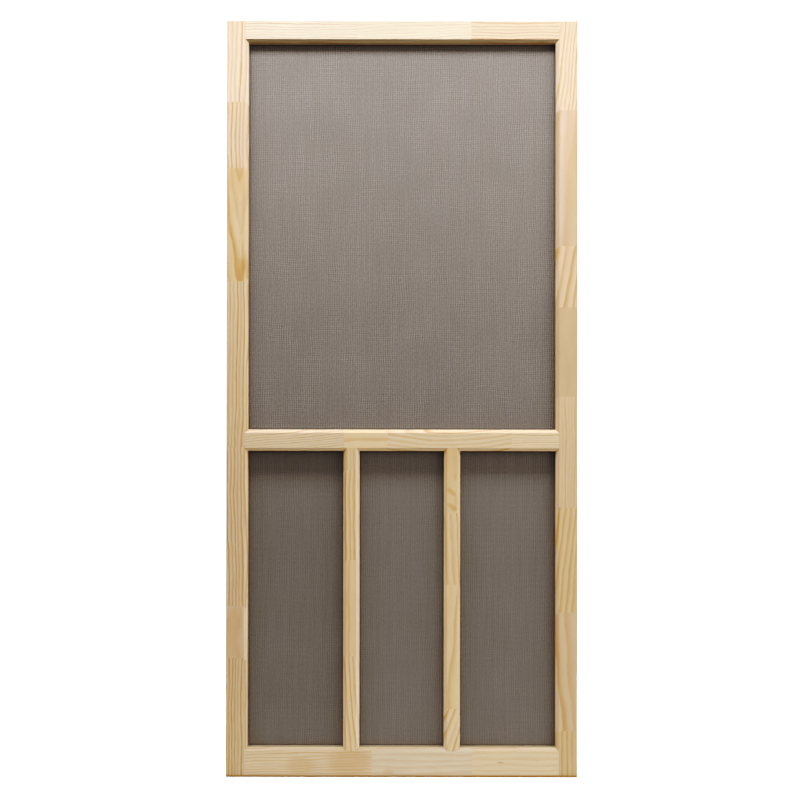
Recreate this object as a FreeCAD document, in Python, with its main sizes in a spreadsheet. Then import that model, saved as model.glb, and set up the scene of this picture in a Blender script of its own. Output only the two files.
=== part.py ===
import FreeCAD, Part
import os
import re
import Sketcher

# A wooden screen door leaf: two full-height stiles, three rails and two mullions with moulded edges,
# four insect screens lying in rabbets at the back, and mitred wooden stops that hold them there.
# X runs across the leaf from the hinge edge, Y from the front face to the back face, Z upwards.
# The origin is on the hinge edge, halfway through the leaf and level with its bottom edge.

# Driving sizes in millimetres.
SIZES = {
    # the leaf
    "door_width": 914,
    "door_height": 1970,
    "door_thickness": 28,
    "arris_radius": 1.5,
    # its members, measured over their moulded edges
    "stile_width": 55.5,
    "top_rail_width": 55.5,
    "mid_rail_width": 55.5,
    "mid_rail_centre": 875.6,
    "bottom_rail_width": 76,
    "mullion_width": 42,
    "mullion_spacing": 262.4,
    # the moulded edge round each opening
    "bevel_width": 8,
    "bevel_depth": 6,
    # stub tenons on rails and mullions, with the room round them in their mortises
    "tenon_length": 22,
    "tenon_thickness": 9,
    "tenon_shoulder": 12,
    "tenon_fit": 0.1,
    "tenon_end_room": 1,
    # the screen and the rabbet that it lies in, whose floor is screen_depth behind the front face
    "screen_depth": 21.5,
    "screen_thickness": 0.5,
    "rabbet_width": 12,
    "screen_edge_room": 1.5,
    # the stops over the screen's edges, flush with the back face
    "stop_fit": 0.2,
    "stop_bevel": 3,
}

# Lines of the leaf, as formulas in those sizes. A sight line is the edge of an opening, and a
# shoulder is the line where a moulded edge starts on the front face.
FRONT = "(-door_thickness / 2)"
BACK = "(door_thickness / 2)"
RABBET_FLOOR = f"({FRONT} + screen_depth)"
SCREEN_BACK = f"({RABBET_FLOOR} + screen_thickness)"
LEFT_SIGHT = "stile_width"
RIGHT_SIGHT = "(door_width - stile_width)"
LEFT_SHOULDER = f"({LEFT_SIGHT} - bevel_width)"
RIGHT_SHOULDER = f"({RIGHT_SIGHT} + bevel_width)"
BOTTOM_SIGHT = "bottom_rail_width"
BOTTOM_SHOULDER = f"({BOTTOM_SIGHT} - bevel_width)"
MID_LOWER_SIGHT = "(mid_rail_centre - mid_rail_width / 2)"
MID_LOWER_SHOULDER = f"({MID_LOWER_SIGHT} + bevel_width)"
MID_UPPER_SIGHT = "(mid_rail_centre + mid_rail_width / 2)"
MID_UPPER_SHOULDER = f"({MID_UPPER_SIGHT} - bevel_width)"
TOP_SIGHT = "(door_height - top_rail_width)"
TOP_SHOULDER = f"({TOP_SIGHT} + bevel_width)"
MULLION_SIDES = {
    "left_mullion": (
        "((door_width - mullion_spacing - mullion_width) / 2)",
        "((door_width - mullion_spacing + mullion_width) / 2)",
    ),
    "right_mullion": (
        "((door_width + mullion_spacing - mullion_width) / 2)",
        "((door_width + mullion_spacing + mullion_width) / 2)",
    ),
}

# The lower and upper edge of each rail.
RAIL_EDGES = {
    "bottom_rail": ("0", BOTTOM_SIGHT),
    "mid_rail": (MID_LOWER_SIGHT, MID_UPPER_SIGHT),
    "top_rail": (TOP_SIGHT, "door_height"),
}

# Each opening's left, right, lower and upper sight lines.
OPENINGS = {
    "upper": (LEFT_SIGHT, RIGHT_SIGHT, MID_UPPER_SIGHT, TOP_SIGHT),
    "lower_left": (LEFT_SIGHT, MULLION_SIDES["left_mullion"][0], BOTTOM_SIGHT, MID_LOWER_SIGHT),
    "lower_middle": (
        MULLION_SIDES["left_mullion"][1],
        MULLION_SIDES["right_mullion"][0],
        BOTTOM_SIGHT,
        MID_LOWER_SIGHT,
    ),
    "lower_right": (MULLION_SIDES["right_mullion"][1], RIGHT_SIGHT, BOTTOM_SIGHT, MID_LOWER_SIGHT),
}

# Two points nearer than this are the same point.
SAME_PLACE = 0.001

doc = FreeCAD.newDocument("ScreenDoor")
sheet = doc.addObject("Spreadsheet::Sheet", "Sizes")
for row, (size_name, size) in enumerate(SIZES.items(), 1):
    sheet.set(f"A{row}", str(size))
    sheet.setAlias(f"A{row}", size_name)
doc.recompute()


def cells(formula):
    """The formula with each size's name turned into a reference to its cell."""
    return re.sub(r"[a-z_]+", lambda word: f"Sizes.{word.group()}", formula)


def bind(thing, **formulas):
    """Ties properties to formulas. In their names a double underscore stands for a dot."""
    for name, formula in formulas.items():
        thing.setExpression(name.replace("__", "."), cells(formula))


def rectangle(left, right, lower, upper):
    return [(left, lower), (right, lower), (right, upper), (left, upper)]


def outline(body, name, corners):
    """A closed sketch on the body's upright middle plane. A corner is its place across and up."""
    sketch = body.newObject("Sketcher::SketchObject", name)
    plane = next(p for p in body.Origin.OriginFeatures if p.Role == "XZ_Plane")
    sketch.AttachmentSupport = [(plane, "")]
    sketch.MapMode = "FlatFace"
    points = [
        FreeCAD.Vector(*(float(sheet.evalExpression(cells(formula))) for formula in corner))
        for corner in corners
    ]
    for start, end in zip(points, points[1:] + points[:1]):
        sketch.addGeometry(Part.LineSegment(start, end))
    for number, corner in enumerate(corners):
        following = (number + 1) % len(corners)
        sketch.addConstraint(Sketcher.Constraint("Coincident", number, 2, following, 1))
        for kind, formula, place in zip(("DistanceX", "DistanceY"), corner, points[number]):
            rule = Sketcher.Constraint(kind, -1, 1, number, 1, place)
            sketch.setExpression(f"Constraints[{sketch.addConstraint(rule)}]", cells(formula))
    return sketch


def through(body, kind, name, corners, thickness):
    """Adds a Pad or a Pocket of the given outline and thickness, centred on the body's plane."""
    feature = body.newObject(f"PartDesign::{kind}", name)
    feature.Profile = outline(body, f"{name}_outline", corners)
    feature.SideType = "Symmetric"
    bind(feature, Length=thickness)
    return feature


def board(name, corners, thickness="door_thickness"):
    """A flat board with the given outline, as the first feature of a body."""
    body = doc.addObject("PartDesign::Body", f"{name}_board")
    through(body, "Pad", f"{name}_blank", corners, thickness)
    doc.recompute()
    return body


def ease_rim(body):
    """Rounds the long arrises where the leaf's outer edges meet its front and back faces."""
    blank = body.Tip
    rim = []
    for number, edge in enumerate(blank.Shape.Edges, 1):
        box = edge.BoundBox
        on_face = box.YLength < SAME_PLACE and abs(box.YMin) > sheet.door_thickness / 2 - SAME_PLACE
        on_side = box.XMax < SAME_PLACE or box.XMin > sheet.door_width - SAME_PLACE
        on_end = box.ZMax < SAME_PLACE or box.ZMin > sheet.door_height - SAME_PLACE
        if on_face and (on_side or on_end):
            rim.append(f"Edge{number}")
    easing = body.newObject("PartDesign::Fillet", f"{body.Label}_easing")
    easing.Base = (blank, rim)
    bind(easing, Radius="arris_radius")


def tenon(body, left, right, lower, upper):
    through(body, "Pad", f"{body.Label}_tenon", rectangle(left, right, lower, upper), "tenon_thickness")


def mortise(body, name, left, right, lower, upper):
    corners = rectangle(left, right, lower, upper)
    through(body, "Pocket", f"{body.Label}_{name}", corners, "tenon_thickness + 2 * tenon_fit")


def block_round(name, opening, margin, front, back):
    """A box that covers an opening and a margin on each of its sides, from front to back."""
    left, right, lower, upper = OPENINGS[opening]
    box = doc.addObject("Part::Box", name)
    bind(
        box,
        Length=f"{right} - {left} + 2 * {margin}",
        Width=f"{back} - {front}",
        Height=f"{upper} - {lower} + 2 * {margin}",
        Placement__Base__x=f"{left} - {margin}",
        Placement__Base__y=front,
        Placement__Base__z=f"{lower} - {margin}",
    )
    return box


def splay_round(name, opening, first, first_margin, last, last_margin):
    """A tapered block round an opening, whose margin changes evenly from the first depth to the last."""
    left, right, lower, upper = OPENINGS[opening]
    splay = doc.addObject("Part::Wedge", name)
    bind(
        splay,
        Ymin=first,
        Xmin=f"{left} - {first_margin}",
        Xmax=f"{right} + {first_margin}",
        Zmin=f"{lower} - {first_margin}",
        Zmax=f"{upper} + {first_margin}",
        Ymax=last,
        X2min=f"{left} - {last_margin}",
        X2max=f"{right} + {last_margin}",
        Z2min=f"{lower} - {last_margin}",
        Z2max=f"{upper} + {last_margin}",
    )
    return splay


def cut_away(name, base, tool):
    """A finished piece: the base without what the tool covers."""
    piece = doc.addObject("Part::Cut", name)
    piece.Base = base
    piece.Tool = tool
    return piece


def stile_outline(edge, sight, shoulder):
    """Full height, with a mitred notch in the moulded edge where each rail comes in."""
    return [
        (edge, "0"),
        (shoulder, "0"),
        (shoulder, BOTTOM_SHOULDER),
        (sight, BOTTOM_SIGHT),
        (sight, MID_LOWER_SIGHT),
        (shoulder, MID_LOWER_SHOULDER),
        (shoulder, MID_UPPER_SHOULDER),
        (sight, MID_UPPER_SIGHT),
        (sight, TOP_SIGHT),
        (shoulder, TOP_SHOULDER),
        (shoulder, "door_height"),
        (edge, "door_height"),
    ]


def plain_rail_edge(sight, shoulder):
    """A rail's moulded edge from left to right, mitred into the stiles."""
    return [
        (LEFT_SHOULDER, shoulder),
        (LEFT_SIGHT, sight),
        (RIGHT_SIGHT, sight),
        (RIGHT_SHOULDER, shoulder),
    ]


def notched_rail_edge(sight, shoulder):
    """The same edge with a mitred notch for each mullion."""
    corners = plain_rail_edge(sight, shoulder)
    notches = []
    for left, right in MULLION_SIDES.values():
        notches += [
            (left, sight),
            (f"{left} + bevel_width", shoulder),
            (f"{right} - bevel_width", shoulder),
            (right, sight),
        ]
    return corners[:2] + notches + corners[2:]


def mullion_outline(left, right):
    """From rail to rail, with ends mitred into the rails' moulded edges."""
    return [
        (f"{left} + bevel_width", BOTTOM_SHOULDER),
        (f"{right} - bevel_width", BOTTOM_SHOULDER),
        (right, BOTTOM_SIGHT),
        (right, MID_LOWER_SIGHT),
        (f"{right} - bevel_width", MID_LOWER_SHOULDER),
        (f"{left} + bevel_width", MID_LOWER_SHOULDER),
        (left, MID_LOWER_SIGHT),
        (left, BOTTOM_SIGHT),
    ]


def make_stile(name, edge, sight, shoulder, mortise_left, mortise_right):
    body = board(name, stile_outline(edge, sight, shoulder))
    ease_rim(body)
    for rail, (lower, upper) in RAIL_EDGES.items():
        mortise(
            body,
            f"{rail}_mortise",
            mortise_left,
            mortise_right,
            f"{lower} + tenon_shoulder - tenon_fit",
            f"{upper} - tenon_shoulder + tenon_fit",
        )
    return body


def make_rail(name, corners):
    body = board(name, corners)
    if name != "mid_rail":
        ease_rim(body)
    lower, upper = RAIL_EDGES[name]
    tenon(
        body,
        f"{LEFT_SHOULDER} - tenon_length",
        f"{RIGHT_SHOULDER} + tenon_length",
        f"{lower} + tenon_shoulder",
        f"{upper} - tenon_shoulder",
    )
    return body


def take_mullions(rail, lower, upper):
    """Cuts the mullions' mortises into a rail, between two heights."""
    for name, (left, right) in MULLION_SIDES.items():
        mortise(
            rail,
            f"{name}_mortise",
            f"{left} + tenon_shoulder - tenon_fit",
            f"{right} - tenon_shoulder + tenon_fit",
            lower,
            upper,
        )


def make_mullion(name, left, right):
    body = board(name, mullion_outline(left, right))
    tenon(
        body,
        f"{left} + tenon_shoulder",
        f"{right} - tenon_shoulder",
        f"{BOTTOM_SHOULDER} - tenon_length",
        f"{MID_LOWER_SHOULDER} + tenon_length",
    )
    return body


def stop_outlines(opening):
    """The four mitred strips that fill an opening's rabbet behind the screen."""
    left, right, lower, upper = OPENINGS[opening]
    reach = "(rabbet_width - stop_fit)"
    outer_left, outer_right = f"{left} - {reach}", f"{right} + {reach}"
    outer_lower, outer_upper = f"{lower} - {reach}", f"{upper} + {reach}"
    outer = rectangle(outer_left, outer_right, outer_lower, outer_upper)
    inner = rectangle(left, right, lower, upper)
    sides = ("bottom", "right", "top", "left")
    return {
        side: [outer[n], outer[(n + 1) % 4], inner[(n + 1) % 4], inner[n]]
        for n, side in enumerate(sides)
    }


# The wooden members, square-edged.
boards = {
    "hinge_stile": make_stile(
        "hinge_stile",
        "0",
        LEFT_SIGHT,
        LEFT_SHOULDER,
        f"{LEFT_SHOULDER} - tenon_length - tenon_end_room",
        LEFT_SIGHT,
    ),
    "latch_stile": make_stile(
        "latch_stile",
        "door_width",
        RIGHT_SIGHT,
        RIGHT_SHOULDER,
        RIGHT_SIGHT,
        f"{RIGHT_SHOULDER} + tenon_length + tenon_end_room",
    ),
    "top_rail": make_rail(
        "top_rail",
        plain_rail_edge(TOP_SIGHT, TOP_SHOULDER)
        + [(RIGHT_SHOULDER, "door_height"), (LEFT_SHOULDER, "door_height")],
    ),
    "mid_rail": make_rail(
        "mid_rail",
        plain_rail_edge(MID_UPPER_SIGHT, MID_UPPER_SHOULDER)
        + notched_rail_edge(MID_LOWER_SIGHT, MID_LOWER_SHOULDER)[::-1],
    ),
    "bottom_rail": make_rail(
        "bottom_rail",
        notched_rail_edge(BOTTOM_SIGHT, BOTTOM_SHOULDER) + [(RIGHT_SHOULDER, "0"), (LEFT_SHOULDER, "0")],
    ),
}
take_mullions(
    boards["mid_rail"],
    MID_LOWER_SIGHT,
    f"{MID_LOWER_SHOULDER} + tenon_length + tenon_end_room",
)
take_mullions(
    boards["bottom_rail"],
    f"{BOTTOM_SHOULDER} - tenon_length - tenon_end_room",
    BOTTOM_SIGHT,
)
for mullion, (left_side, right_side) in MULLION_SIDES.items():
    boards[mullion] = make_mullion(mullion, left_side, right_side)

# The moulded edge at the front and the rabbet at the back of every opening, cut from all members.
openings = doc.addObject("Part::MultiFuse", "openings")
openings.Shapes = [
    shape
    for opening in OPENINGS
    for shape in (
        splay_round(f"{opening}_bevel", opening, FRONT, "bevel_width", f"({FRONT} + bevel_depth)", "0"),
        block_round(f"{opening}_rabbet", opening, "rabbet_width", RABBET_FLOOR, BACK),
    )
]
pieces = [cut_away(name, member, openings) for name, member in boards.items()]

# The screens, lapping onto the rabbets' floors, and the stops behind their edges.
for opening in OPENINGS:
    screen_margin = "(rabbet_width - screen_edge_room)"
    pieces.append(block_round(f"{opening}_screen", opening, screen_margin, RABBET_FLOOR, SCREEN_BACK))
    stop_splay = splay_round(
        f"{opening}_stop_splay", opening, f"({BACK} - stop_bevel)", "0", BACK, "stop_bevel"
    )
    for side, corners in stop_outlines(opening).items():
        stop_name = f"{opening}_stop_{side}"
        strip = board(stop_name, corners, f"{BACK} - {SCREEN_BACK}")
        bind(strip, Placement__Base__y=f"({SCREEN_BACK} + {BACK}) / 2")
        pieces.append(cut_away(stop_name, strip, stop_splay))

doc.recompute()
for thing in doc.Objects:
    if "Invalid" in thing.State or "Error" in thing.State:
        raise RuntimeError(f"{thing.Label} did not build")
for piece in pieces:
    if piece.Shape.isNull() or not piece.Shape.isValid() or len(piece.Shape.Solids) != 1:
        raise RuntimeError(f"{piece.Label} is not one sound solid")

os.makedirs("parts", exist_ok=True)
for piece in pieces:
    piece.Shape.exportStep(f"parts/{piece.Label}.step")
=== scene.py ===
"""Wooden screen door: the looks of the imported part, in metres, in the part's own frame."""

import math
from collections import namedtuple

import bpy
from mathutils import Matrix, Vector


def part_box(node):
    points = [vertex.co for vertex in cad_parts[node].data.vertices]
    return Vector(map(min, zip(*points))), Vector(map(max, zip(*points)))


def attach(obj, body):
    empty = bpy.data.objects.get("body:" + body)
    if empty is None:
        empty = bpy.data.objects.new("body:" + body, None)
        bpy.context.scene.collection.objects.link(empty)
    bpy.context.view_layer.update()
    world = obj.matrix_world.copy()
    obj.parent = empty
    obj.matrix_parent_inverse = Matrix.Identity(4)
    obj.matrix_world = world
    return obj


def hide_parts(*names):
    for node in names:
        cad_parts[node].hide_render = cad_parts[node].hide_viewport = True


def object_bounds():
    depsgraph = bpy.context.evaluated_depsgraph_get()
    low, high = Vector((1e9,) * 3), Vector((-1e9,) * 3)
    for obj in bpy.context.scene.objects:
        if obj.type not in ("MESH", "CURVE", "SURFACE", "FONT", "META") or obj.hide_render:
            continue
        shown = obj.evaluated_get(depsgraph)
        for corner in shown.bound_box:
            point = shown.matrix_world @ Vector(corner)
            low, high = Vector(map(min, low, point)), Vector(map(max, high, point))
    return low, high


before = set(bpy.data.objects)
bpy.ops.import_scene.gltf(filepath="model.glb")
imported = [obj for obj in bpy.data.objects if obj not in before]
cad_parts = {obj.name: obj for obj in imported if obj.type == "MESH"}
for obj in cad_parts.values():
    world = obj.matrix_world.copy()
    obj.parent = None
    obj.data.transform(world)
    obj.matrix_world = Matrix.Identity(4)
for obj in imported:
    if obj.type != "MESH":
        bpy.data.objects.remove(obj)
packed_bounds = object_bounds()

MM = 0.001

# The leaf, in metres: its front face looks towards -Y, and its origin is on the hinge edge.
LEAF_WIDTH, HALF_THICKNESS, LEAF_HEIGHT = packed_bounds[1]
# Where the mullions' last block ends, in millimetres, just inside the mid rail.
MULLION_TOP = 852

PANES = ("upper", "lower_left", "lower_middle", "lower_right")
SIDES = ("bottom", "right", "top", "left")

# Colours of pine: pale and warm early wood, a pink tinge, late wood and resin, a brown painted shade for
# the outer arrises and the bottom edge, and a dark painted shade for the walls of the openings.
CREAM = (0.93, 0.79, 0.60, 1.0)
AMBER = (0.82, 0.53, 0.25, 1.0)
BLUSH = (0.85, 0.555, 0.33, 1.0)
HONEY = (0.64, 0.31, 0.098, 1.0)
RESIN = (0.41, 0.20, 0.06, 1.0)
ARRIS_SHADE = (0.50, 0.225, 0.06, 1.0)
OPENING_SHADE = (0.26, 0.19, 0.11, 1.0)

# Colours of the other finishes. Yarn and steel each lie between two tones.
YARN_WARM = (0.206, 0.174, 0.153, 1.0)
YARN_COOL = (0.212, 0.182, 0.166, 1.0)
STEEL_DULL = (0.42, 0.41, 0.39, 1.0)
STEEL_BRIGHT = (0.56, 0.55, 0.53, 1.0)
PAPER = (0.93, 0.93, 0.925)

# The colour of the room's light and of the soft boxes.
WARM_WHITE = (1.0, 0.97, 0.90)

# How deep the bump of each surface is.
WOOD_BUMP = 0.12 * MM
YARN_BUMP = 0.04 * MM
STEEL_BUMP = 0.02 * MM
PAPER_BUMP = 0.1 * MM

# How far sandpaper has eased the arrises of members and stops.
MEMBER_EASING = 0.45 * MM
STOP_EASING = 0.3 * MM

# One length of wood between two finger joints. Places are in millimetres along the member and across its
# middle line. The leans say how the heart of the tree slants through the block, and the rest is how warm,
# how pink, how stripy and how light the block is. That lightness is partly the block's own and partly
# painted light: the stiles are made darker and the rails and mullions lighter, to even out how the light
# falls from the top of the door to the bottom.
Block = namedtuple(
    "Block",
    "start heart_across heart_depth ring lean_across lean_depth warm blush contrast tone",
)

# A soft patch on a face: its colour, where its middle is, which way it runs, its half sizes.
Patch = namedtuple(
    "Patch",
    "colour along across run_along run_across half_length half_width strength",
)

# Painted light and shade on a member's bevels: the tone of those that look up or right and how far a
# painted highlight makes them paler, and the tone of those that look down or left.
Bevels = namedtuple("Bevels", "up_right pale down_left")
PLAIN_BEVELS = Bevels(1.0, 0.0, 1.0)

# A member: its node, which way its grain runs, where its last block ends, and how it looks, with the
# painted light on its bevels.
Timber = namedtuple("Timber", "node grain end blocks patches bevels")

HINGE_STILE = Timber(
    "hinge_stile", "Z", LEAF_HEIGHT / MM,
    [
        Block(0, -95, 6, 8.0, 0.0, 0.0, 0.75, 0.10, 1.55, 0.88),
        Block(309, -14, 70, 30.0, 0.0, 0.02, 0.50, 0.45, 0.60, 0.97),
        Block(444, -110, 4, 9.0, -0.015, 0.0, 0.65, 0.50, 1.60, 0.92),
        Block(858, -130, 10, 8.8, 0.012, 0.0, 0.75, 0.20, 1.70, 0.92),
        Block(1290, 7, 10, 13.0, 0.0, -0.10, 1.00, 0.05, 1.15, 0.92),
        Block(1585, -118, 2, 10.6, 0.0, 0.0, 0.60, 0.05, 1.30, 0.90),
        Block(1758, -124, 6, 11.4, 0.012, 0.0, 0.42, 0.00, 1.05, 0.95),
    ],
    [
        Patch(HONEY, 1324, 9.0, 1.0, -0.12, 34, 13.0, 0.50),
        Patch(RESIN, 1352, 13.8, 1.0, 0.0, 56, 4.0, 0.35),
        Patch(CREAM, 1452, 3.0, 1.0, 0.0, 64, 13.0, 0.20),
        Patch(HONEY, 1478, -1.0, 1.0, 0.0, 44, 6.0, 0.35),
        Patch(HONEY, 1556, 0.0, 1.0, 0.0, 50, 36.0, 0.25),
        Patch(HONEY, 1455, -26.0, 1.0, 0.0, 60, 6.0, 0.50),
    ],
    Bevels(1.10, 0.10, 1.0),
)
LATCH_STILE = Timber(
    "latch_stile", "Z", LEAF_HEIGHT / MM,
    [
        Block(0, 88, 2, 13.0, 0.0, 0.0, 1.00, 0.30, 0.80, 0.93),
        Block(121, 66, 40, 21.0, -0.09, 0.02, 0.85, 0.60, 1.35, 0.94),
        Block(428, 90, 8, 14.0, 0.10, 0.0, 0.90, 0.00, 1.50, 1.00),
        Block(702, 120, 4, 8.4, 0.0, 0.0, 0.85, 0.60, 0.70, 0.98),
        Block(991, 6, 90, 30.0, 0.0, 0.01, 1.00, 0.60, 0.90, 0.86),
        Block(1223, 84, 10, 21.0, 0.17, 0.0, 0.75, 0.25, 1.15, 0.98),
        Block(1383, 40, 46, 24.0, 0.02, 0.03, 1.00, 0.90, 0.55, 0.86),
        Block(1737, 110, 6, 10.0, 0.11, 0.0, 0.50, 0.00, 0.95, 0.98),
    ],
    [
        Patch(CREAM, 1567, -13.6, 1.0, 0.01, 210, 8.0, 0.34),
        Patch(CREAM, 1706, -9.0, 1.0, 0.05, 52, 12.0, 0.36),
        Patch(AMBER, 1556, 13.0, 1.0, 0.0, 170, 18.0, 0.45),
    ],
    Bevels(1.0, 0.0, 0.95),
)
TOP_RAIL = Timber(
    "top_rail", "X", LEAF_WIDTH / MM,
    [
        Block(0, -88, -6, 6.8, 0.0, 0.05, 0.00, 0.00, 0.75, 0.97),
        Block(342, -76, 12, 7.4, 0.045, 0.0, 0.16, 0.00, 0.45, 0.97),
        Block(637, -98, 4, 8.2, 0.0, 0.02, 0.42, 0.00, 0.95, 0.97),
    ],
    [],
    Bevels(1.0, 0.0, 0.58),
)
MID_RAIL = Timber(
    "mid_rail", "X", LEAF_WIDTH / MM,
    [
        Block(0, -90, 6, 6.2, 0.085, 0.0, 0.55, 0.00, 0.95, 0.98),
        Block(307, 46, 24, 21.0, 0.03, 0.0, 0.84, 0.00, 0.60, 1.12),
        Block(421, 62, -14, 10.5, 0.0, 0.25, 0.68, 0.00, 1.10, 1.07),
        Block(743, -80, -8, 6.4, 0.03, 0.08, 0.63, 0.00, 0.85, 1.10),
    ],
    [],
    Bevels(0.93, 0.0, 1.22),
)
BOTTOM_RAIL = Timber(
    "bottom_rail", "X", LEAF_WIDTH / MM,
    [
        Block(0, -96, -4, 7.6, 0.03, 0.0, 0.60, 0.20, 0.70, 1.03),
        Block(380, -70, 30, 13.0, 0.02, 0.02, 0.45, 0.00, 0.50, 1.02),
        Block(640, 60, 34, 12.0, 0.01, 0.0, 0.66, 0.00, 0.55, 1.14),
    ],
    [
        Patch(HONEY, 194, -8.0, 1.0, 0.02, 50, 30.0, 0.34),
        Patch(HONEY, 322, 2.0, 1.0, 0.0, 70, 56.0, 0.40),
        Patch(HONEY, 423, -23.0, 1.0, 0.0, 18, 9.0, 0.35),
        Patch(RESIN, 714, 0.7, 1.0, 0.0, 11, 2.4, 0.60),
    ],
    Bevels(0.63, 0.0, 1.0),
)
LEFT_MULLION = Timber(
    "left_mullion", "Z", MULLION_TOP,
    [
        Block(0, -74, 2, 12.0, -0.09, 0.0, 0.80, 0.00, 1.00, 1.11),
        Block(314, -58, 18, 22.0, 0.0, 0.0, 0.90, 0.00, 0.60, 1.09),
        Block(564, -80, 4, 11.5, 0.0, 0.02, 0.85, 0.00, 1.70, 1.07),
        Block(798, -92, 8, 9.5, 0.01, 0.0, 0.85, 0.00, 1.40, 1.02),
    ],
    [],
    Bevels(1.10, 0.30, 0.80),
)
RIGHT_MULLION = Timber(
    "right_mullion", "Z", MULLION_TOP,
    [
        Block(0, 72, 2, 17.0, 0.36, 0.0, 0.75, 0.00, 1.05, 1.13),
        Block(178, 62, 20, 24.0, 0.09, 0.0, 0.88, 0.00, 0.66, 1.14),
        Block(501, 70, 8, 15.0, -0.06, 0.0, 0.85, 0.00, 1.15, 1.10),
        Block(686, 8, 80, 26.0, 0.0, 0.03, 0.90, 0.00, 0.60, 1.10),
    ],
    [
        Patch(HONEY, 741, -1.3, -18.7, 23.4, 19, 8.0, 0.62),
        Patch(HONEY, 745, -8.0, -18.7, 23.4, 9, 9.0, 0.30),
        Patch(HONEY, 703, -0.5, -18.0, 21.4, 18, 8.0, 0.62),
        Patch(HONEY, 698, 6.5, -18.0, 21.4, 9, 10.0, 0.50),
        Patch(HONEY, 781, 7.4, 1.0, 0.0, 14, 6.0, 0.40),
        Patch(HONEY, 718, 9.0, 1.0, 0.0, 22, 6.0, 0.30),
    ],
    Bevels(0.95, 0.10, 0.86),
)
TIMBERS = (HINGE_STILE, LATCH_STILE, TOP_RAIL, MID_RAIL, BOTTOM_RAIL, LEFT_MULLION, RIGHT_MULLION)

# The stops are cut from long strips that share these blocks.
STOP_BLOCKS = [
    Block(0, -160, 20, 7.5, 0.0, 0.0, 0.20, 0.10, 0.70, 0.91),
    Block(520, -130, 44, 11.0, 0.015, 0.0, 0.40, 0.20, 0.60, 0.89),
    Block(1270, -150, 12, 8.5, -0.01, 0.0, 0.15, 0.05, 0.75, 0.92),
]

# Finger joints: half the pitch of the fingers in millimetres, and how far they run along the
# grain for each millimetre of depth.
FINGER_HALF_PITCH = 2.0
FINGER_SLOPE = 4.0

# Growth rings: how far they wander, slowly and quickly, in millimetres, when in the year the
# late wood is darkest, and how far apart two blocks are in their luck.
SLOW_WANDER = 14.0
QUICK_WANDER = 2.6
LATE_PEAK = 0.86
BLOCK_LUCK = 17.0

# The weave of a pane: its tone, how much its yarns vary along their length, and how strong the
# fine lines are that show in it from afar.
Weave = namedtuple("Weave", "tone slub line")
WEAVES = {
    "upper": Weave(0.91, 0.17, 0.27),
    "lower_left": Weave(0.80, 0.09, 0.12),
    "lower_middle": Weave(0.86, 0.09, 0.12),
    "lower_right": Weave(0.85, 0.09, 0.12),
}
# Upright yarns run along Z and level ones along X. Their sizes are in millimetres.
YARN_PITCH = {"Z": 1.41, "X": 1.59}
YARN_WIDTH = {"Z": 1.37, "X": 1.59}
# The fine lines, in radians a millimetre, and how far they wander, in radians.
LINES = 1.07
LINE_WANDER = 14.0
# How strongly lines across the yarns, and wider ripples, show beside the lines along them.
CROSSING_SHARE = 0.4
RIPPLE_SHARE = 0.12
# How strongly painted light and shade clouds a screen, for the ripples of its slack, as a share of the
# strength of its lines.
RIPPLE_LIGHT_SHARE = 0.17
# How far a screen reaches behind the edges of its opening, in millimetres.
SCREEN_LAP = 10.5

# The brads that hold the stops: their heads lie just below the wood, in shallow pockets.
HEAD_RADIUS = 0.9 * MM
HEAD_DEPTH = 0.6 * MM
HEAD_BELOW = 0.05 * MM
HEAD_RIM = 0.18 * MM
HEAD_LAND = 0.27 * MM
DIMPLE_DEPTH = 0.12 * MM
POCKET_RADIUS = 1.05 * MM
POCKET_DEPTH = 0.2 * MM
BRAD_FROM_EDGE = 4.4 * MM
BRAD_FROM_END = 40 * MM
BRAD_SPACING = 140 * MM

# How bright the room is, above and below its soft horizon, and as the camera sees it.
ROOM_ABOVE = 0.68
ROOM_BELOW = 0.066
ROOM_SEEN = 2.1
HORIZON_LOW = -0.15
HORIZON_HIGH = 0.45

# How the camera turns light into tone.
CURVE_WHITE = 2.0
CURVE_POINTS = (
    (0.05, 0.03),
    (0.12, 0.12),
    (0.25, 0.28),
    (0.5, 0.495),
    (0.9, 0.715),
    (1.2, 0.86),
    (1.5, 0.955),
)
COMBINED_CURVE = 3

# The camera, nearly level and square to the leaf. Angles are in degrees.
CAMERA_PLACE = (0.4521, -2.714, 0.9677)
CAMERA_PITCH = 90.28
CAMERA_ROLL = -0.08
CAMERA_LENS = 46.66
CAMERA_SENSOR = 36.0


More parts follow.
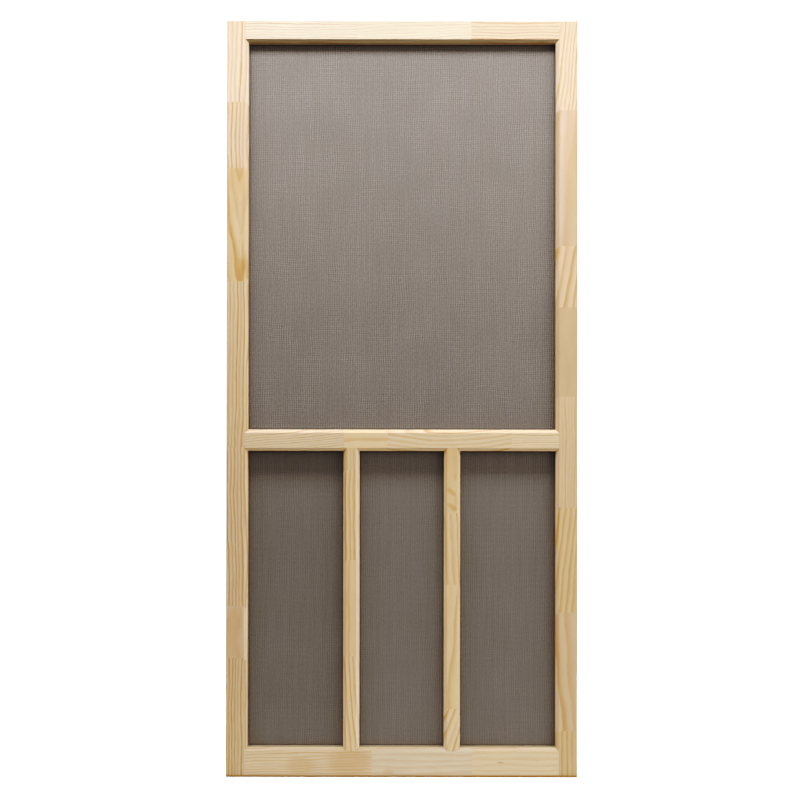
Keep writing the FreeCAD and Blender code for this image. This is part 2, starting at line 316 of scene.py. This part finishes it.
class Finish:
    """A material while it is being made up from nodes."""

    def __init__(self, name):
        self.material = bpy.data.materials.new(name)
        self.material.use_nodes = True
        self.tree = self.material.node_tree
        self.tree.nodes.clear()

    def node(self, kind, inputs=None, **settings):
        """Adds a node. An input that is a socket is linked, and any other value is set."""
        made = self.tree.nodes.new(kind)
        for key, value in settings.items():
            setattr(made, key, value)
        for key, value in (inputs or {}).items():
            if isinstance(value, bpy.types.NodeSocket):
                self.tree.links.new(value, made.inputs[key])
            else:
                made.inputs[key].default_value = value
        return made

    def math(self, operation, *values):
        return self.node("ShaderNodeMath", dict(enumerate(values)), operation=operation).outputs[0]

    def times(self, first, *others):
        """The product of several values."""
        for other in others:
            first = self.math("MULTIPLY", first, other)
        return first

    def wave(self, value, pace, shift):
        """A sine wave along a value."""
        return self.math("SINE", self.math("MULTIPLY_ADD", value, pace, shift))

    def vector(self, operation, *values):
        return self.node("ShaderNodeVectorMath", dict(enumerate(values)), operation=operation).outputs[0]

    def combine(self, x, y, z):
        return self.node("ShaderNodeCombineXYZ", {0: x, 1: y, 2: z}).outputs[0]

    def separate(self, vector):
        return self.node("ShaderNodeSeparateXYZ", {0: vector}).outputs

    def ease(self, value, low, high, to_low=0.0, to_high=1.0):
        """A smooth step of a value from one number to another."""
        inputs = {"Value": value, "From Min": low, "From Max": high, "To Min": to_low, "To Max": to_high}
        return self.node("ShaderNodeMapRange", inputs, interpolation_type="SMOOTHSTEP").outputs[0]

    def spread(self, value, low, high, to_low=0.0, to_high=1.0):
        """A straight step of a value from one range to another, held at its ends."""
        inputs = {"Value": value, "From Min": low, "From Max": high, "To Min": to_low, "To Max": to_high}
        return self.node("ShaderNodeMapRange", inputs).outputs[0]

    def swing(self, value, low, high, amount):
        """A factor about one that follows a value."""
        return self.spread(value, low, high, 1.0 - amount, 1.0 + amount)

    def noise(self, vector, scale, detail=2.0, roughness=0.5):
        inputs = {"Vector": vector, "Scale": scale, "Detail": detail, "Roughness": roughness}
        return self.node("ShaderNodeTexNoise", inputs).outputs[0]

    def stretched_noise(self, along, stretch, across, depth, scale, detail=2.0, roughness=0.5):
        """Noise that is drawn out along the grain or the yarn."""
        place = self.combine(self.times(along, stretch), across, depth)
        return self.noise(place, scale, detail, roughness)

    def random(self, value):
        return self.node("ShaderNodeTexWhiteNoise", {"W": value}, noise_dimensions="1D").outputs[0]

    def mix(self, share, first, second):
        """A colour between two colours."""
        return self.node("ShaderNodeMix", {0: share, 6: first, 7: second}, data_type="RGBA").outputs[2]

    def shade(self, colour, factor):
        """A colour made lighter or darker by a factor."""
        return self.vector("MULTIPLY", colour, self.combine(factor, factor, factor))

    def millimetres(self):
        """The place on the piece, in millimetres."""
        place = self.node("ShaderNodeTexCoord").outputs["Object"]
        scaled = self.node("ShaderNodeVectorMath", {0: place, "Scale": 1 / MM}, operation="SCALE")
        return self.separate(scaled.outputs[0])

    def from_ends(self, value, low, high):
        """How far a value is from the nearer of two ends."""
        return self.math("MINIMUM", self.math("SUBTRACT", value, low), self.math("SUBTRACT", high, value))

    def surface(self, colour, roughness, height, depth, specular=0.5, metallic=0.0):
        """Ends the material: a shader with this colour, roughness and bump."""
        bump = self.node("ShaderNodeBump", {"Strength": 1.0, "Distance": depth, "Height": height})
        inputs = {
            "Base Color": colour,
            "Roughness": roughness,
            "Normal": bump.outputs[0],
            "Specular IOR Level": specular,
            "Metallic": metallic,
        }
        shader = self.node("ShaderNodeBsdfPrincipled", inputs)
        self.node("ShaderNodeOutputMaterial", {0: shader.outputs[0]})
        return self.material


# A place in a member: across the leaf and up it, and along, across and through the member.
Place = namedtuple("Place", "x z along across depth")

# The growth rings at a place: how late in the year the wood grew, where it lies in the tree, how
# the rings wander there, and the tone, warmth and pink tinge of its block.
Wood = namedtuple("Wood", "late in_tree quick tone warm blush")


def by_block(finish, jointed, blocks, values):
    """Three values of the block that a place falls in, changed at each finger joint."""
    joined = finish.combine(*values[0])
    for index in range(1, len(blocks)):
        past_joint = finish.math("GREATER_THAN", jointed, float(blocks[index].start))
        change = tuple(new - old for old, new in zip(values[index - 1], values[index]))
        steps = finish.combine(past_joint, past_joint, past_joint)
        joined = finish.vector("MULTIPLY_ADD", steps, change, joined)
    return finish.separate(joined)


def growth_rings(finish, place, blocks, end):
    """Wood cut from solid trees: rings about a heart that slants and wanders along each block."""
    # The fingers run through the thickness: straight lines on the faces, teeth on the edges.
    from_front = finish.math("ADD", place.depth, HALF_THICKNESS / MM)
    teeth = finish.math("PINGPONG", from_front, FINGER_HALF_PITCH)
    jointed = finish.math("MULTIPLY_ADD", teeth, FINGER_SLOPE, place.along)

    ends = [block.start for block in blocks[1:]] + [end]
    middles = [(block.start + block_end) / 2 for block, block_end in zip(blocks, ends)]
    hearts = [(block.heart_across, block.heart_depth, block.ring) for block in blocks]
    leans = [(block.lean_across, block.lean_depth, middle) for block, middle in zip(blocks, middles)]
    tints = [(block.warm, block.blush, block.contrast) for block in blocks]
    tones = [(block.tone, BLOCK_LUCK * number, 0.0) for number, block in enumerate(blocks)]
    heart_across, heart_depth, ring = by_block(finish, jointed, blocks, hearts)
    lean_across, lean_depth, middle = by_block(finish, jointed, blocks, leans)
    warm, blush, contrast = by_block(finish, jointed, blocks, tints)
    tone, block_luck, _ = by_block(finish, jointed, blocks, tones)

    in_tree = finish.combine(
        finish.times(place.along, 0.25),
        finish.math("MULTIPLY_ADD", block_luck, 11.0, place.across),
        place.depth,
    )
    slow = finish.math("SUBTRACT", finish.noise(in_tree, 0.028, 1.0), 0.5)
    quick = finish.math("SUBTRACT", finish.noise(in_tree, 0.16), 0.5)
    wander = finish.math("MULTIPLY_ADD", quick, QUICK_WANDER, finish.times(slow, SLOW_WANDER))

    run = finish.math("SUBTRACT", place.along, middle)
    side = finish.math("SUBTRACT", place.across, heart_across)
    side = finish.math("SUBTRACT", side, finish.times(run, lean_across))
    deep = finish.math("SUBTRACT", place.depth, heart_depth)
    deep = finish.math("SUBTRACT", deep, finish.times(run, lean_depth))
    from_heart = finish.node(
        "ShaderNodeVectorMath", {0: finish.combine(side, deep, 0.0)}, operation="LENGTH"
    ).outputs["Value"]

    years = finish.math("DIVIDE", finish.math("ADD", from_heart, wander), ring)
    season = finish.math("FRACT", years)
    luck = finish.random(finish.math("ADD", finish.math("FLOOR", years), block_luck))
    darkening = finish.ease(season, finish.spread(luck, 0.0, 1.0, 0.12, 0.45), LATE_PEAK)
    ending = finish.ease(season, LATE_PEAK, 1.0, 1.0, 0.0)
    late = finish.times(darkening, ending, finish.spread(luck, 0.0, 1.0, 0.35, 1.1), contrast)
    return Wood(late, in_tree, quick, tone, warm, blush)


def soft_patch(finish, patch, place, quick):
    """How strongly a patch shows: fading from its middle, with an outline that wanders a little."""
    size = math.hypot(patch.run_along, patch.run_across)
    run_along = patch.run_along / size
    run_across = patch.run_across / size
    from_along = finish.math("SUBTRACT", place.along, patch.along)
    from_across = finish.math("SUBTRACT", place.across, patch.across)
    lengthways = finish.times(from_along, run_along)
    lengthways = finish.math("MULTIPLY_ADD", from_across, run_across, lengthways)
    sideways = finish.times(from_across, run_along)
    sideways = finish.math("MULTIPLY_ADD", from_along, -run_across, sideways)
    sideways = finish.math("MULTIPLY_ADD", quick, 3.0, sideways)
    far = finish.math("DIVIDE", lengthways, patch.half_length)
    wide = finish.math("DIVIDE", sideways, patch.half_width)
    reach = finish.math("MULTIPLY_ADD", far, far, finish.times(wide, wide))
    return finish.ease(reach, 0.1, 1.0, patch.strength, 0.0)


def end_grain_and_painted_shade(finish, colour, place, grain, normal, upright):
    """Darker end grain, and painted shade along the outer arrises and on the walls of the openings."""
    along_normal = finish.math("ABSOLUTE", normal[2] if grain == "Z" else normal[0])
    end_grain = finish.ease(along_normal, 0.85, 1.0, 0.0, 0.35)
    colour = finish.mix(end_grain, colour, HONEY)

    near_side = finish.from_ends(place.x, 0.0, LEAF_WIDTH / MM)
    near_end = finish.from_ends(place.z, 0.0, LEAF_HEIGHT / MM)
    # Painted shade: a brown line along the outer side arrises and along the bottom edge.
    painted_arris_shade_sides = finish.ease(near_side, 0.3, 3.6, 0.50, 0.0)
    painted_arris_shade_bottom = finish.ease(place.z, 3.2, 7.6, 0.95, 0.0)
    colour = finish.mix(finish.math("MAXIMUM", painted_arris_shade_sides, painted_arris_shade_bottom), colour, ARRIS_SHADE)

    # Painted shade on the walls of the openings: a dark tone, strongest on walls that look up and weakest
    # on walls that look down.
    inside = finish.ease(finish.math("MINIMUM", near_side, near_end), 6.0, 10.0)
    edgewise = finish.ease(upright, 0.3, 0.5, 1.0, 0.0)
    opening_shade_by_facing = finish.ease(normal[2], -0.95, -0.6, 0.35, 0.8)
    opening_shade_looking_up = finish.ease(normal[2], 0.6, 0.95, 0.0, 0.2)
    opening_shade_share = finish.math("ADD", opening_shade_by_facing, opening_shade_looking_up)
    return finish.mix(finish.times(inside, edgewise, opening_shade_share), colour, OPENING_SHADE)


def pine(name, grain, middle, end, blocks, patches=(), bevels=PLAIN_BEVELS):
    """Finger-jointed pine with its grain along X or Z, about a middle line in millimetres."""
    finish = Finish(name)
    x, y, z = finish.millimetres()
    along, sideways = (z, x) if grain == "Z" else (x, z)
    place = Place(x, z, along, finish.math("SUBTRACT", sideways, middle), y)
    wood = growth_rings(finish, place, blocks, end)

    # Fibres and short resin ducts, long along the grain and fine across it.
    fibres = finish.stretched_noise(along, 0.035, place.across, y, 1.3, 3.0, 0.6)
    ducts = finish.ease(finish.stretched_noise(along, 0.11, place.across, y, 0.95, 1.0), 0.67, 0.75)

    normal = finish.separate(finish.node("ShaderNodeNewGeometry").outputs["Normal"])
    # Painted shade: faces that look down are painted in the darker amber of warm wood.
    painted_underside_shade = finish.ease(normal[2], -0.5, -0.3, 0.6, 0.0)
    early = finish.mix(finish.math("MAXIMUM", wood.warm, painted_underside_shade), CREAM, AMBER)
    early = finish.mix(wood.blush, early, BLUSH)
    colour = finish.mix(wood.late, early, HONEY)
    colour = finish.mix(finish.times(ducts, 0.32), colour, HONEY)
    for patch in patches:
        colour = finish.mix(soft_patch(finish, patch, place, wood.quick), colour, patch.colour)

    # A bevel leans halfway between a face and an edge.
    upright = finish.math("ABSOLUTE", normal[1])
    bevel = finish.times(finish.ease(upright, 0.5, 0.7), finish.ease(upright, 0.9, 0.97, 1.0, 0.0))
    # Painted light and shade: bevels that look up or right get their own tone and a painted highlight
    # towards cream, and those that look down or left get another tone, for how the light falls on each
    # side.
    up_right = finish.ease(finish.math("ADD", normal[0], normal[2]), -0.3, 0.3)
    colour = finish.mix(finish.times(bevel, up_right, bevels.pale), colour, CREAM)
    painted_bevel_light = finish.spread(up_right, 0.0, 1.0, bevels.down_left - 1.0, bevels.up_right - 1.0)
    light = finish.times(
        wood.tone,
        finish.swing(fibres, 0.25, 0.75, 0.06),
        finish.swing(finish.noise(wood.in_tree, 0.05), 0.3, 0.7, 0.04),
        finish.math("MULTIPLY_ADD", bevel, painted_bevel_light, 1.0),
    )
    colour = end_grain_and_painted_shade(finish, finish.shade(colour, light), place, grain, normal, upright)

    roughness = finish.math("MULTIPLY_ADD", wood.late, -0.10, finish.spread(fibres, 0.3, 0.7, 0.56, 0.70))
    height = finish.math("MULTIPLY_ADD", wood.late, 0.5, fibres)
    return finish.surface(colour, roughness, height, WOOD_BUMP, 0.35)


def fine_lines(finish, place, along, across, strength):
    """The fine lines along and across the yarns, as seen from afar, stronger in places."""
    wander = finish.times(finish.noise(place, 0.011, 1.0), LINE_WANDER)
    lines = finish.wave(across, LINES, wander)
    lines = finish.math("MULTIPLY_ADD", finish.wave(along, LINES, wander), CROSSING_SHARE, lines)
    lines = finish.math("MULTIPLY_ADD", finish.wave(along, 0.4 * LINES, wander), RIPPLE_SHARE, lines)
    local = finish.ease(finish.noise(place, 0.016, 1.0), 0.35, 0.65, 0.25 * strength, strength)
    return finish.math("MULTIPLY_ADD", lines, local, 1.0)


def yarn(name, run, weave, low, high):
    """Coated screen yarn, warm grey, whose tone changes a little from thread to thread."""
    finish = Finish(name)
    x, y, z = finish.millimetres()
    place = finish.combine(x, y, z)
    along, across = (z, x) if run == "Z" else (x, z)
    crossing_pitch = YARN_PITCH["X" if run == "Z" else "Z"]

    thread = finish.math("FLOOR", finish.math("DIVIDE", across, YARN_PITCH[run]))
    single = finish.random(thread)
    streaks = finish.stretched_noise(along, 0.05, across, 0.0, 0.13, 1.0)
    slubs = finish.stretched_noise(along, 0.75, across, 0.0, 0.23, 2.0, 0.6)
    twist = finish.stretched_noise(along, 0.6, across, y, 1.4)
    painted_ripple_light = finish.noise(place, 0.008)
    dips = finish.wave(along, math.pi / crossing_pitch, 0.0)

    # Painted shade darkens the screen where it meets the edge of its opening.
    from_sides = finish.from_ends(x, low.x / MM, high.x / MM)
    from_rails = finish.from_ends(z, low.z / MM, high.z / MM)
    in_sight = finish.math("SUBTRACT", finish.math("MINIMUM", from_sides, from_rails), SCREEN_LAP)

    # Painted light and shade in the yarns' tone: soft clouds for the slack screen's ripples, lighter and
    # darker in turn as each yarn rises over and dips under those crossing it, and shade near the edge of
    # the opening.
    light = finish.times(
        finish.swing(single, 0.0, 1.0, 0.02),
        weave.tone,
        finish.swing(painted_ripple_light, 0.3, 0.7, RIPPLE_LIGHT_SHARE * weave.line),
        finish.swing(streaks, 0.3, 0.7, 0.015),
        fine_lines(finish, place, along, across, weave.line),
        finish.swing(slubs, 0.3, 0.7, weave.slub),
        finish.swing(twist, 0.2, 0.8, 0.05),
        finish.math("MULTIPLY_ADD", dips, 0.05, 1.0),
        finish.ease(in_sight, 1.0, 6.0, 0.62, 1.0),
    )
    colour = finish.shade(finish.mix(finish.spread(streaks, 0.35, 0.65), YARN_WARM, YARN_COOL), light)
    roughness = finish.spread(twist, 0.2, 0.8, 0.50, 0.66)
    return finish.surface(colour, roughness, finish.math("ADD", twist, dips), YARN_BUMP, 0.4)


def brad_steel():
    """Bright steel of the small heads that hold the stops, with fine scratches."""
    finish = Finish("brad_steel")
    grain = finish.noise(finish.combine(*finish.millimetres()), 2.2)
    colour = finish.mix(finish.spread(grain, 0.3, 0.7), STEEL_DULL, STEEL_BRIGHT)
    roughness = finish.spread(grain, 0.3, 0.7, 0.30, 0.45)
    return finish.surface(colour, roughness, grain, STEEL_BUMP, metallic=0.9)


def floor_paper():
    """Matt white paper under the door."""
    finish = Finish("floor_paper")
    tooth = finish.noise(finish.combine(*finish.millimetres()), 0.6, 3.0)
    colour = finish.shade(PAPER, finish.spread(tooth, 0.3, 0.7, 0.985, 1.0))
    roughness = finish.spread(tooth, 0.3, 0.7, 0.85, 0.95)
    return finish.surface(colour, roughness, tooth, PAPER_BUMP, 0.1)


def alone(piece):
    """Makes a piece the only selected one."""
    bpy.ops.object.select_all(action="DESELECT")
    piece.select_set(True)
    bpy.context.view_layer.objects.active = piece


def copy_of(mesh, name):
    """A new object at the origin, with a copy of a mesh."""
    piece = bpy.data.objects.new(name, mesh.copy())
    bpy.context.scene.collection.objects.link(piece)
    return piece


def apply_modifier(piece, kind, **settings):
    """Adds a modifier with these settings and applies it."""
    modifier = piece.modifiers.new(kind.lower(), kind)
    for key, value in settings.items():
        setattr(modifier, key, value)
    alone(piece)
    bpy.ops.object.modifier_apply(modifier=modifier.name)


def sanded(node, finish, easing, pockets=None):
    """A copy of a wooden piece with its arrises eased by sandpaper, and pockets cut for brads."""
    piece = copy_of(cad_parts[node].data, node + "_sanded")
    piece.data.materials.clear()
    piece.data.materials.append(finish)
    alone(piece)
    bpy.ops.object.mode_set(mode="EDIT")
    bpy.ops.mesh.select_all(action="SELECT")
    bpy.ops.mesh.remove_doubles(threshold=0.005 * MM)
    bpy.ops.mesh.dissolve_limited(angle_limit=math.radians(0.5))
    bpy.ops.object.mode_set(mode="OBJECT")
    apply_modifier(
        piece, "BEVEL", width=easing, segments=2, limit_method="ANGLE",
        angle_limit=math.radians(35), use_clamp_overlap=True,
    )
    if pockets:
        apply_modifier(piece, "BOOLEAN", object=pockets, operation="DIFFERENCE", solver="EXACT")
    bpy.ops.object.shade_smooth_by_angle(angle=math.radians(30))
    apply_modifier(piece, "WEIGHTED_NORMAL", mode="FACE_AREA", weight=50, keep_sharp=True)
    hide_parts(node)
    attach(piece, "root")


def wooden_members():
    """The stiles, rails and mullions, each with its own finger-jointed blocks."""
    for timber in TIMBERS:
        low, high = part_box(timber.node)
        side = 0 if timber.grain == "Z" else 2
        middle = (low[side] + high[side]) / 2 / MM
        finish = pine(
            timber.node + "_pine", timber.grain, middle, timber.end,
            timber.blocks, timber.patches, timber.bevels,
        )
        sanded(timber.node, finish, MEMBER_EASING)


def threads(name, finish, low, high, run, thickness, middle_depth):
    """One set of a pane's yarns: a flat six-sided thread, repeated side by side."""
    pitch = YARN_PITCH[run] * MM
    width = YARN_WIDTH[run] * MM
    half_side = math.pi / 6
    across_corners = thickness / math.cos(half_side)
    span = high - low
    size = (width, across_corners, span.z) if run == "Z" else (span.x, across_corners, width)
    beside = 0 if run == "Z" else 2
    count = int((span[beside] - width) / pitch) + 1
    first = (low + high) / 2
    first.y = middle_depth
    first[beside] -= (count - 1) * pitch / 2
    step = Vector()
    step[beside] = pitch

    bpy.ops.object.select_all(action="DESELECT")
    bpy.ops.mesh.primitive_cylinder_add(vertices=6, radius=0.5, depth=1.0, rotation=(0.0, 0.0, half_side))
    piece = bpy.context.active_object
    piece.name = name
    bpy.ops.object.transform_apply(location=False, rotation=True, scale=True)
    if run == "X":
        piece.rotation_euler = (0.0, math.pi / 2, 0.0)
        bpy.ops.object.transform_apply(location=False, rotation=True, scale=False)
    piece.scale = size
    piece.location = first
    bpy.ops.object.transform_apply(location=True, rotation=False, scale=True)
    apply_modifier(
        piece, "ARRAY", count=count, use_relative_offset=False, use_constant_offset=True,
        constant_offset_displace=step,
    )
    piece.data.materials.clear()
    piece.data.materials.append(finish)
    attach(piece, "root")
    return piece


def woven_screen(pane):
    """A pane's screen: upright yarns in front of level yarns, as large as its cut sheet."""
    node = pane + "_screen"
    low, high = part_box(node)
    warp_finish = yarn(pane + "_warp", "Z", WEAVES[pane], low, high)
    weft_finish = yarn(pane + "_weft", "X", WEAVES[pane], low, high)
    half = (high.y - low.y) / 2
    warp = threads(node + "_warp", warp_finish, low, high, "Z", half, low.y + half / 2)
    weft = threads(node + "_weft", weft_finish, low, high, "X", half, high.y - half / 2)
    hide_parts(node)


def brad_places(pane, side):
    """Where the brads of one stop go in: evenly along it, in the middle of its flat back."""
    low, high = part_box(f"{pane}_stop_{side}")
    level = side in ("bottom", "top")
    first = (low.x if level else low.z) + BRAD_FROM_END
    last = (high.x if level else high.z) - BRAD_FROM_END
    spaces = max(1, round((last - first) / BRAD_SPACING))
    line = {
        "bottom": low.z + BRAD_FROM_EDGE,
        "top": high.z - BRAD_FROM_EDGE,
        "left": low.x + BRAD_FROM_EDGE,
        "right": high.x - BRAD_FROM_EDGE,
    }[side]
    steps = [first + (last - first) * number / spaces for number in range(spaces + 1)]
    return [(step, high.y, line) if level else (line, high.y, step) for step in steps]


def disc(name, radius, front, back):
    """A short round bar along the thickness, from front to back."""
    bpy.ops.object.select_all(action="DESELECT")
    bpy.ops.mesh.primitive_cylinder_add(
        vertices=12, radius=radius, depth=back - front, location=(0.0, (front + back) / 2, 0.0),
        rotation=(math.pi / 2, 0.0, 0.0),
    )
    made = bpy.context.active_object
    made.name = name
    bpy.ops.object.transform_apply(location=True, rotation=True, scale=False)
    return made


def brad_head():
    """One brad's head, with a rounded rim and a small dimple."""
    head = disc("brad_head", HEAD_RADIUS, -HEAD_DEPTH, -HEAD_BELOW)
    apply_modifier(
        head, "BEVEL", width=HEAD_RIM, segments=2, limit_method="ANGLE", angle_limit=math.radians(60)
    )
    for face in head.data.polygons:
        face.select = face.normal.y > 0.99
    bpy.ops.object.mode_set(mode="EDIT")
    bpy.ops.mesh.select_mode(type="FACE")
    bpy.ops.mesh.inset(thickness=HEAD_LAND)
    bpy.ops.transform.translate(value=(0.0, -DIMPLE_DEPTH, 0.0))
    bpy.ops.object.mode_set(mode="OBJECT")
    bpy.ops.object.shade_smooth_by_angle(angle=math.radians(35))
    head.data.materials.append(brad_steel())
    return head


def repeated(pattern, places, name):
    """Copies of one shape at several places, joined into one piece."""
    copies = []
    for place in places:
        copy = copy_of(pattern.data, name)
        copy.location = place
        copies.append(copy)
    alone(copies[0])
    for copy in copies:
        copy.select_set(True)
    bpy.ops.object.join()
    bpy.ops.object.transform_apply(location=True, rotation=False, scale=False)
    return copies[0]


def screen_stops():
    """The thin strips at the back that hold the screens in their rabbets, and their brads."""
    upright = pine("upright_stop_pine", "Z", 0.0, LEAF_HEIGHT / MM, STOP_BLOCKS)
    level = pine("level_stop_pine", "X", 0.0, LEAF_WIDTH / MM, STOP_BLOCKS)
    pocket = disc("pocket", POCKET_RADIUS, -POCKET_DEPTH, POCKET_DEPTH)
    head = brad_head()
    every_place = []
    for pane in PANES:
        for side in SIDES:
            finish = upright if side in ("left", "right") else level
            places = brad_places(pane, side)
            pockets = repeated(pocket, places, "pockets")
            sanded(f"{pane}_stop_{side}", finish, STOP_EASING, pockets)
            bpy.data.objects.remove(pockets)
            every_place.extend(places)
    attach(repeated(head, every_place, "stop_brads"), "root")
    bpy.data.objects.remove(pocket)
    bpy.data.objects.remove(head)


def area_light(name, place, aim, size, watts, spread=180.0, colour=(1.0, 1.0, 1.0)):
    """A soft box that the camera does not see."""
    bpy.ops.object.light_add(type="AREA", location=place)
    lamp = bpy.context.active_object
    lamp.name = name
    lamp.data.shape = "RECTANGLE"
    lamp.data.size, lamp.data.size_y = size
    lamp.data.energy = watts
    lamp.data.color = colour
    lamp.data.spread = math.radians(spread)
    lamp.rotation_euler = (Vector(aim) - Vector(place)).to_track_quat("-Z", "Y").to_euler()
    lamp.visible_camera = False


def white_room():
    """A room that looks white, and lights the door softly, less from below than from above."""
    world = bpy.data.worlds.new("white_room")
    bpy.context.scene.world = world
    world.use_nodes = True
    tree = world.node_tree
    tree.nodes.clear()
    add, link = tree.nodes.new, tree.links.new
    height = add("ShaderNodeSeparateXYZ")
    link(add("ShaderNodeTexCoord").outputs["Generated"], height.inputs[0])
    level = add("ShaderNodeMapRange")
    level.interpolation_type = "SMOOTHSTEP"
    level.inputs["From Min"].default_value = HORIZON_LOW
    level.inputs["From Max"].default_value = HORIZON_HIGH
    level.inputs["To Min"].default_value = ROOM_BELOW
    level.inputs["To Max"].default_value = ROOM_ABOVE
    link(height.outputs["Z"], level.inputs["Value"])
    around = add("ShaderNodeBackground")
    around.inputs["Color"].default_value = (*WARM_WHITE, 1.0)
    link(level.outputs[0], around.inputs["Strength"])
    seen = add("ShaderNodeBackground")
    seen.inputs["Color"].default_value = (1.0, 1.0, 1.0, 1.0)
    seen.inputs["Strength"].default_value = ROOM_SEEN
    choice = add("ShaderNodeMixShader")
    link(add("ShaderNodeLightPath").outputs["Is Camera Ray"], choice.inputs[0])
    link(around.outputs[0], choice.inputs[1])
    link(seen.outputs[0], choice.inputs[2])
    link(choice.outputs[0], add("ShaderNodeOutputWorld").inputs[0])


def paper_floor():
    """Plain pale paper under the door, with a lamp of its own straight above."""
    bpy.ops.object.select_all(action="DESELECT")
    bpy.ops.mesh.primitive_circle_add(
        vertices=96, radius=1.3, fill_type="NGON", location=(LEAF_WIDTH / 2, -0.1, 0.0)
    )
    floor = bpy.context.active_object
    floor.name = "floor"
    bpy.ops.object.transform_apply(location=True, rotation=False, scale=False)
    floor.data.materials.append(floor_paper())
    floor.visible_diffuse = False
    floor.visible_glossy = False
    bpy.ops.object.light_add(type="SUN", location=(LEAF_WIDTH / 2, 0.0, 4.0))
    lamp = bpy.context.active_object
    lamp.name = "floor_lamp"
    lamp.data.energy = 8.0
    lamp.data.angle = math.radians(20)
    lit = bpy.data.collections.new("lit_by_floor_lamp")
    lit.objects.link(floor)
    lamp.light_linking.receiver_collection = lit


def tone_curve():
    """Rolls off the brightest tones and deepens the darkest, as a camera does."""
    view = bpy.context.scene.view_settings
    view.view_transform = "Standard"
    view.use_curve_mapping = True
    mapping = view.curve_mapping
    mapping.white_level = (CURVE_WHITE, CURVE_WHITE, CURVE_WHITE)
    for light, tone in CURVE_POINTS:
        mapping.curves[COMBINED_CURVE].points.new(light / CURVE_WHITE, tone)
    mapping.update()


def front_camera():
    """The camera, in front of the leaf."""
    camera_data = bpy.data.cameras.new("camera")
    camera_data.lens = CAMERA_LENS
    camera_data.sensor_width = CAMERA_SENSOR
    camera = bpy.data.objects.new("camera", camera_data)
    bpy.context.scene.collection.objects.link(camera)
    camera.location = CAMERA_PLACE
    camera.rotation_euler = (math.radians(CAMERA_PITCH), math.radians(CAMERA_ROLL), 0.0)
    bpy.context.scene.camera = camera


def studio():
    """White floor and room, a strip light over the front, and soft boxes right, behind and low."""
    paper_floor()
    white_room()
    area_light(
        "strip", place=(0.5, -0.421, 2.464), aim=(0.5, -0.421, 0.0),
        size=(4.0, 0.27), watts=47.3, spread=120.0,
    )
    area_light(
        "soft_box", place=(2.95, -1.35, 1.1), aim=(0.5, 0.0, 0.8),
        size=(2.0, 1.8), watts=24.0, colour=WARM_WHITE,
    )
    area_light(
        "back_box", place=(1.7, 2.6, 1.9), aim=(0.457, 0.0, 0.9),
        size=(2.2, 2.2), watts=75.0, colour=WARM_WHITE,
    )
    area_light(
        "near_floor", place=(0.457, -0.42, 0.004), aim=(0.457, -0.42, 2.0),
        size=(2.0, 0.8), watts=2.5, colour=WARM_WHITE,
    )
    tone_curve()
    front_camera()


wooden_members()
screen_stops()
for pane in PANES:
    woven_screen(pane)
studio()
